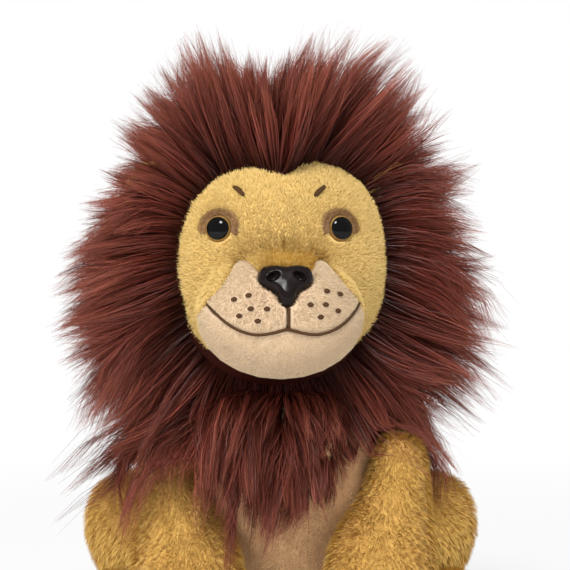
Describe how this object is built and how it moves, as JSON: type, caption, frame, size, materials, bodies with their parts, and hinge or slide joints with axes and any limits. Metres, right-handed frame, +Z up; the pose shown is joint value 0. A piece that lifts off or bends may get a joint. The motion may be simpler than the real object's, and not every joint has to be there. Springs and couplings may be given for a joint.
{
  "type": "plush lion",
  "caption": "Seated plush lion with a long red-brown mane, tan plush body, cream muzzle, chin and chest, moulded nose and safety eyes.",
  "frame": {"origin": "middle of the seat panel's underside, on the floor", "axes": "+Z up through the head, -Y the way that the lion looks, +X to the right in a front view"},
  "size_m": [0.2013, 0.2315, 0.2628],
  "materials": {
    "tan_plush": "short golden-tan pile",
    "cream_velboa": "very short cream pile",
    "mane_pile": "long combed red-brown pile",
    "brown_velboa": "very short brown pile",
    "nose_plastic": "satin brown-black",
    "eye_plastic": "polished black with a pale rim",
    "washer_plastic": "natural white",
    "bag_cloth": "plain cotton filled with pellets"
  },
  "bodies": {
    "torso": {"torso": "tan_plush", "seat_panel": "tan_plush", "pellet_bag": "bag_cloth", "chest_bib": "cream_velboa", "mane_ruff_left": "mane_pile", "mane_ruff_right": "mane_pile"},
    "head": {"head": "tan_plush", "muzzle_pad_left": "cream_velboa", "muzzle_pad_right": "cream_velboa", "chin": "cream_velboa", "nose": "nose_plastic", "nose_washer": "washer_plastic", "eye_left": "eye_plastic", "eye_right": "eye_plastic", "eye_washer_left": "washer_plastic", "eye_washer_right": "washer_plastic", "eye_patch_left": "brown_velboa", "eye_patch_right": "brown_velboa", "ear_left": "tan_plush", "ear_right": "tan_plush", "ear_lining_left": "cream_velboa", "ear_lining_right": "cream_velboa", "mane_crown_left": "mane_pile", "mane_crown_right": "mane_pile", "mane_cheek_left": "mane_pile", "mane_cheek_right": "mane_pile", "mane_nape": "mane_pile"},
    "foreleg_left": {"foreleg_left": "tan_plush"},
    "foreleg_right": {"foreleg_right": "tan_plush"},
    "hind_leg_left": {"haunch_left": "tan_plush", "hind_foot_left": "tan_plush"},
    "hind_leg_right": {"haunch_right": "tan_plush", "hind_foot_right": "tan_plush"},
    "tail": {"tail": "tan_plush", "tail_tuft": "mane_pile"}
  },
  "joints": [
    {"name": "head_turn", "type": "hinge", "parent": "torso", "child": "head", "pos_m": [-0.005, -0.025, 0.107], "axis": [0, 0, 1], "range_deg": [-18, 18], "stiffness_Nm_per_rad": 0.06},
    {"name": "foreleg_left_lift", "type": "hinge", "parent": "torso", "child": "foreleg_left", "pos_m": [-0.052, -0.042, 0.07], "axis": [-1, 0, 0], "range_deg": [0, 25], "stiffness_Nm_per_rad": 0.04},
    {"name": "foreleg_right_lift", "type": "hinge", "parent": "torso", "child": "foreleg_right", "pos_m": [0.052, -0.042, 0.07], "axis": [-1, 0, 0], "range_deg": [0, 25], "stiffness_Nm_per_rad": 0.04},
    {"name": "hind_leg_left_lift", "type": "hinge", "parent": "torso", "child": "hind_leg_left", "pos_m": [-0.0452, 0.008, 0.034], "axis": [-1, 0, 0], "range_deg": [0, 12], "stiffness_Nm_per_rad": 0.06},
    {"name": "hind_leg_right_lift", "type": "hinge", "parent": "torso", "child": "hind_leg_right", "pos_m": [0.0452, 0.008, 0.034], "axis": [-1, 0, 0], "range_deg": [0, 12], "stiffness_Nm_per_rad": 0.06},
    {"name": "tail_swing", "type": "hinge", "parent": "torso", "child": "tail", "pos_m": [0, 0.05, 0.0155], "axis": [0, 0, 1], "range_deg": [-20, 20], "stiffness_Nm_per_rad": 0.01}
  ]
}
